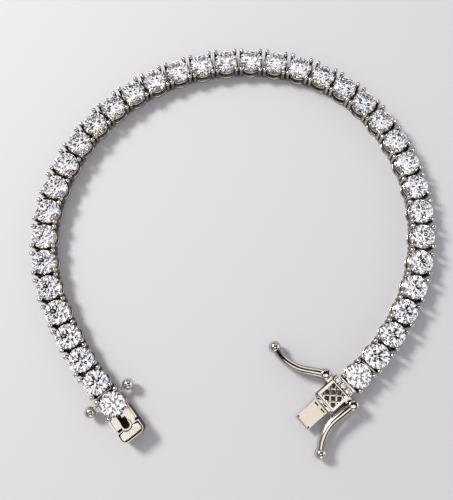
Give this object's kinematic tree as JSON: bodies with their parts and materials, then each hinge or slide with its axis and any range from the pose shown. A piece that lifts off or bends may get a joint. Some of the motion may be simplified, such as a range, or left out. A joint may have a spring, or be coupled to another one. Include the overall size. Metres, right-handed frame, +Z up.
{
  "type": "tennis bracelet",
  "caption": "Flexible line bracelet of round brilliants in four-prong settings, lying open, with a box clasp, folded tongue and swinging safety latches.",
  "frame": {"origin": "under the middle of the lying bracelet's bounding box, on the table", "axes": "+Z up through the stones' tables, +Y from the open clasp side towards the closed side of the loop, +X from the box clasp towards the latch end"},
  "size_m": [0.0666, 0.0686, 0.0032],
  "materials": {
    "white_metal": "polished rhodium-plated white gold",
    "spring_metal": "satin white gold, slightly warm",
    "brilliant_stone": "clear, faceted and polished"
  },
  "bodies": {
    "bracelet": {"stone_01": "brilliant_stone", "stone_02": "brilliant_stone", "stone_03": "brilliant_stone", "stone_04": "brilliant_stone", "stone_05": "brilliant_stone", "stone_06": "brilliant_stone", "stone_07": "brilliant_stone", "stone_08": "brilliant_stone", "stone_09": "brilliant_stone", "stone_10": "brilliant_stone", "stone_11": "brilliant_stone", "stone_12": "brilliant_stone", "stone_13": "brilliant_stone", "stone_14": "brilliant_stone", "stone_15": "brilliant_stone", "stone_16": "brilliant_stone", "stone_17": "brilliant_stone", "stone_18": "brilliant_stone", "stone_19": "brilliant_stone", "stone_20": "brilliant_stone", "stone_21": "brilliant_stone", "stone_22": "brilliant_stone", "stone_23": "brilliant_stone", "stone_24": "brilliant_stone", "stone_25": "brilliant_stone", "stone_26": "brilliant_stone", "stone_27": "brilliant_stone", "stone_28": "brilliant_stone", "stone_29": "brilliant_stone", "stone_30": "brilliant_stone", "stone_31": "brilliant_stone", "stone_32": "brilliant_stone", "stone_33": "brilliant_stone", "stone_34": "brilliant_stone", "stone_35": "brilliant_stone", "stone_36": "brilliant_stone", "stone_37": "brilliant_stone", "accent_stone_1": "brilliant_stone", "accent_stone_2": "brilliant_stone", "accent_stone_3": "brilliant_stone", "setting_run_1": "white_metal", "setting_run_2": "white_metal", "setting_run_3": "white_metal", "setting_run_4": "white_metal", "setting_run_5": "white_metal", "setting_run_6": "white_metal", "box_clasp": "white_metal", "clasp_block": "white_metal", "tongue": "spring_metal"},
    "latch_inner": {"latch_inner": "white_metal"},
    "latch_outer": {"latch_outer": "white_metal"}
  },
  "joints": [
    {"name": "latch_inner_swing", "type": "hinge", "parent": "bracelet", "child": "latch_inner", "pos_m": [0.01441, -0.02136, 0.0016], "axis": [0, 0, -1], "range_deg": [-55.8, 40.5]},
    {"name": "latch_outer_swing", "type": "hinge", "parent": "bracelet", "child": "latch_outer", "pos_m": [0.01855, -0.02612, 0.0016], "axis": [0, 0, 1], "range_deg": [0, 96.3]}
  ]
}
